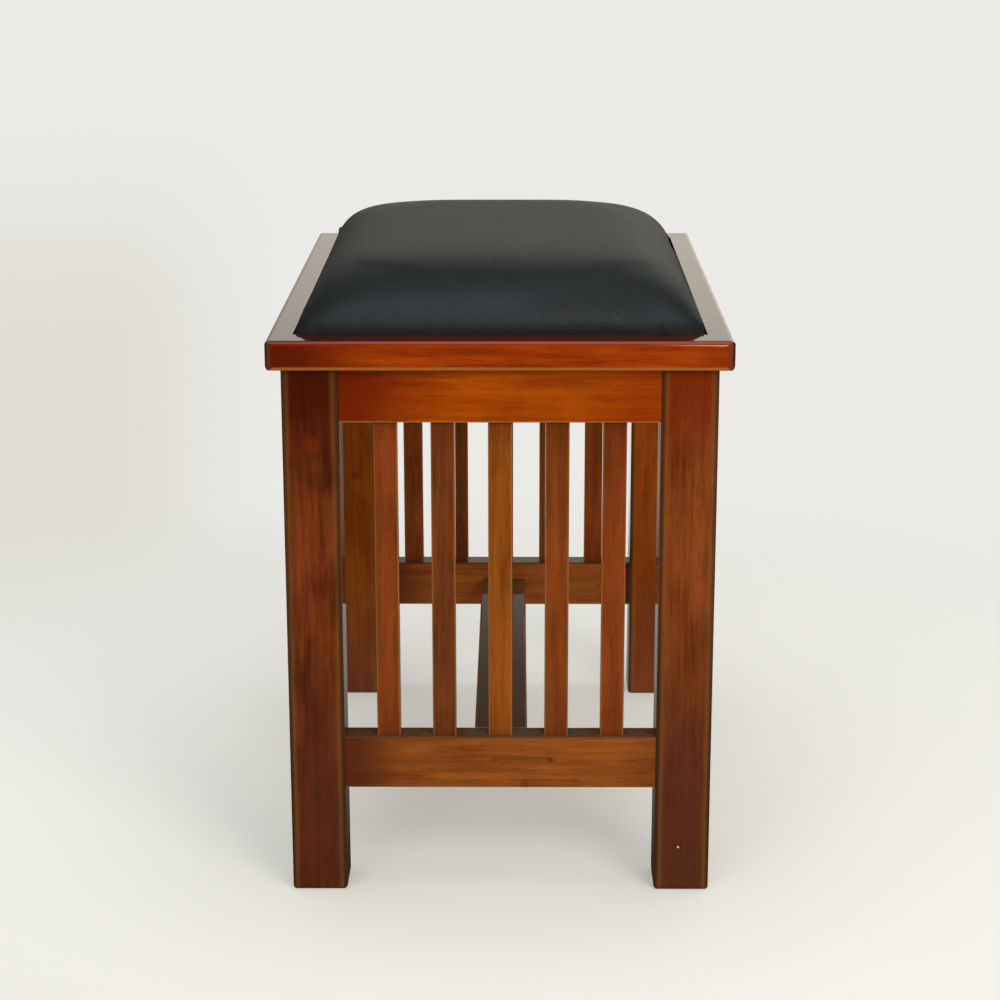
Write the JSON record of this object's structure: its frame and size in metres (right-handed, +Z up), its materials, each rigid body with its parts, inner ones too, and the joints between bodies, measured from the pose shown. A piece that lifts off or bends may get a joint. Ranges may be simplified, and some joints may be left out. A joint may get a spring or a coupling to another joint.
{
  "type": "upholstered stool",
  "caption": "Low rectangular wooden stool with slatted ends, a flat stretcher down the middle, a mitred top frame and a crowned drop-in pad in black leathercloth.",
  "frame": {"origin": "on the floor, under the middle of the stool", "axes": "+Z up; the stool is longest along Y and narrowest along X; its slatted ends face -Y (front) and +Y (back)"},
  "size_m": [0.373, 0.553, 0.519],
  "materials": {
    "lacquered_wood": "gloss",
    "bare_wood": "matte",
    "plywood": "matte",
    "zinc_steel": "satin",
    "foam": "matte",
    "leathercloth": "satin",
    "dust_cloth": "matte"
  },
  "bodies": {
    "root": {"leg_front_left": "lacquered_wood", "leg_front_right": "lacquered_wood", "leg_back_left": "lacquered_wood", "leg_back_right": "lacquered_wood", "apron_front": "lacquered_wood", "apron_back": "lacquered_wood", "apron_left": "lacquered_wood", "apron_right": "lacquered_wood", "bottom_rail_front": "lacquered_wood", "bottom_rail_back": "lacquered_wood", "stretcher": "lacquered_wood", "slat_front_1": "lacquered_wood", "slat_front_2": "lacquered_wood", "slat_front_3": "lacquered_wood", "slat_front_4": "lacquered_wood", "slat_front_5": "lacquered_wood", "slat_back_1": "lacquered_wood", "slat_back_2": "lacquered_wood", "slat_back_3": "lacquered_wood", "slat_back_4": "lacquered_wood", "slat_back_5": "lacquered_wood", "top_rail_front": "lacquered_wood", "top_rail_back": "lacquered_wood", "top_rail_left": "lacquered_wood", "top_rail_right": "lacquered_wood", "mitre_splines": "bare_wood", "corner_block_front_left": "bare_wood", "corner_block_front_right": "bare_wood", "corner_block_back_left": "bare_wood", "corner_block_back_right": "bare_wood", "frame_screws": "zinc_steel", "apron_screws": "zinc_steel", "seat_screws": "zinc_steel", "seat_base": "plywood", "seat_foam": "foam", "seat_cover": "leathercloth", "dust_cover": "dust_cloth"}
  },
  "joints": []
}
